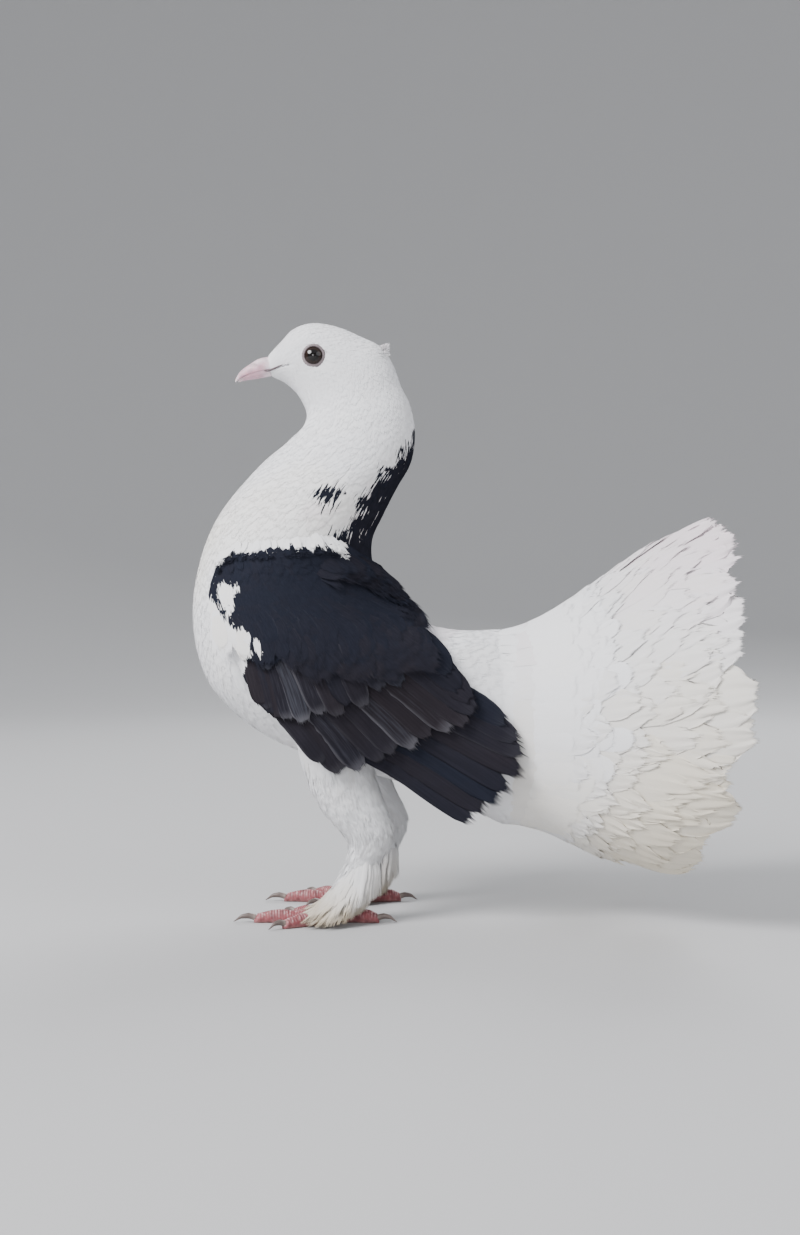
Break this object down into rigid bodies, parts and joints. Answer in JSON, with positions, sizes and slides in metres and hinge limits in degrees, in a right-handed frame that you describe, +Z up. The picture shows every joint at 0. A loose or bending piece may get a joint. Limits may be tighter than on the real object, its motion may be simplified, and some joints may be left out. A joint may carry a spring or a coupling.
{
  "type": "fantail pigeon",
  "caption": "Standing fantail pigeon, white with a black saddle and wings, a raised funnel-shaped fan tail and feathered legs; a still, life-size model.",
  "frame": {"origin": "on the floor, below the middle of the bird's bounding box", "axes": "+Z up; the bird faces -X and its tail points to +X; its left side faces -Y, so +Y is its right side"},
  "size_m": [0.2279, 0.1597, 0.2528],
  "materials": {
    "white_plumage": "soft matte white contour feathers",
    "black_plumage": "blue-black to brown-black feathers with a faint satin sheen",
    "tail_plumage": "matte white feathers, cream towards the tips",
    "leg_plumage": "loose matte cream-white feathers",
    "bill_horn": "pinkish horn, half gloss",
    "eye": "wet, very dark brown",
    "foot_skin": "pinkish red scaled skin",
    "claw_horn": "dark grey-brown horn"
  },
  "bodies": {
    "root": {"head": "white_plumage", "neck": "white_plumage", "torso": "white_plumage", "rump": "white_plumage", "bill_upper": "bill_horn", "bill_lower": "bill_horn", "eye_left": "eye", "eye_right": "eye", "wing_left": "black_plumage", "wing_right": "black_plumage", "tail_centre": "tail_plumage", "tail_left": "tail_plumage", "tail_right": "tail_plumage", "thigh_left": "leg_plumage", "thigh_right": "leg_plumage", "shank_left": "leg_plumage", "shank_right": "leg_plumage", "foot_left": "foot_skin", "foot_right": "foot_skin", "claw_left_middle": "claw_horn", "claw_left_outer": "claw_horn", "claw_left_inner": "claw_horn", "claw_left_hind": "claw_horn", "claw_right_middle": "claw_horn", "claw_right_outer": "claw_horn", "claw_right_inner": "claw_horn", "claw_right_hind": "claw_horn"}
  },
  "joints": []
}
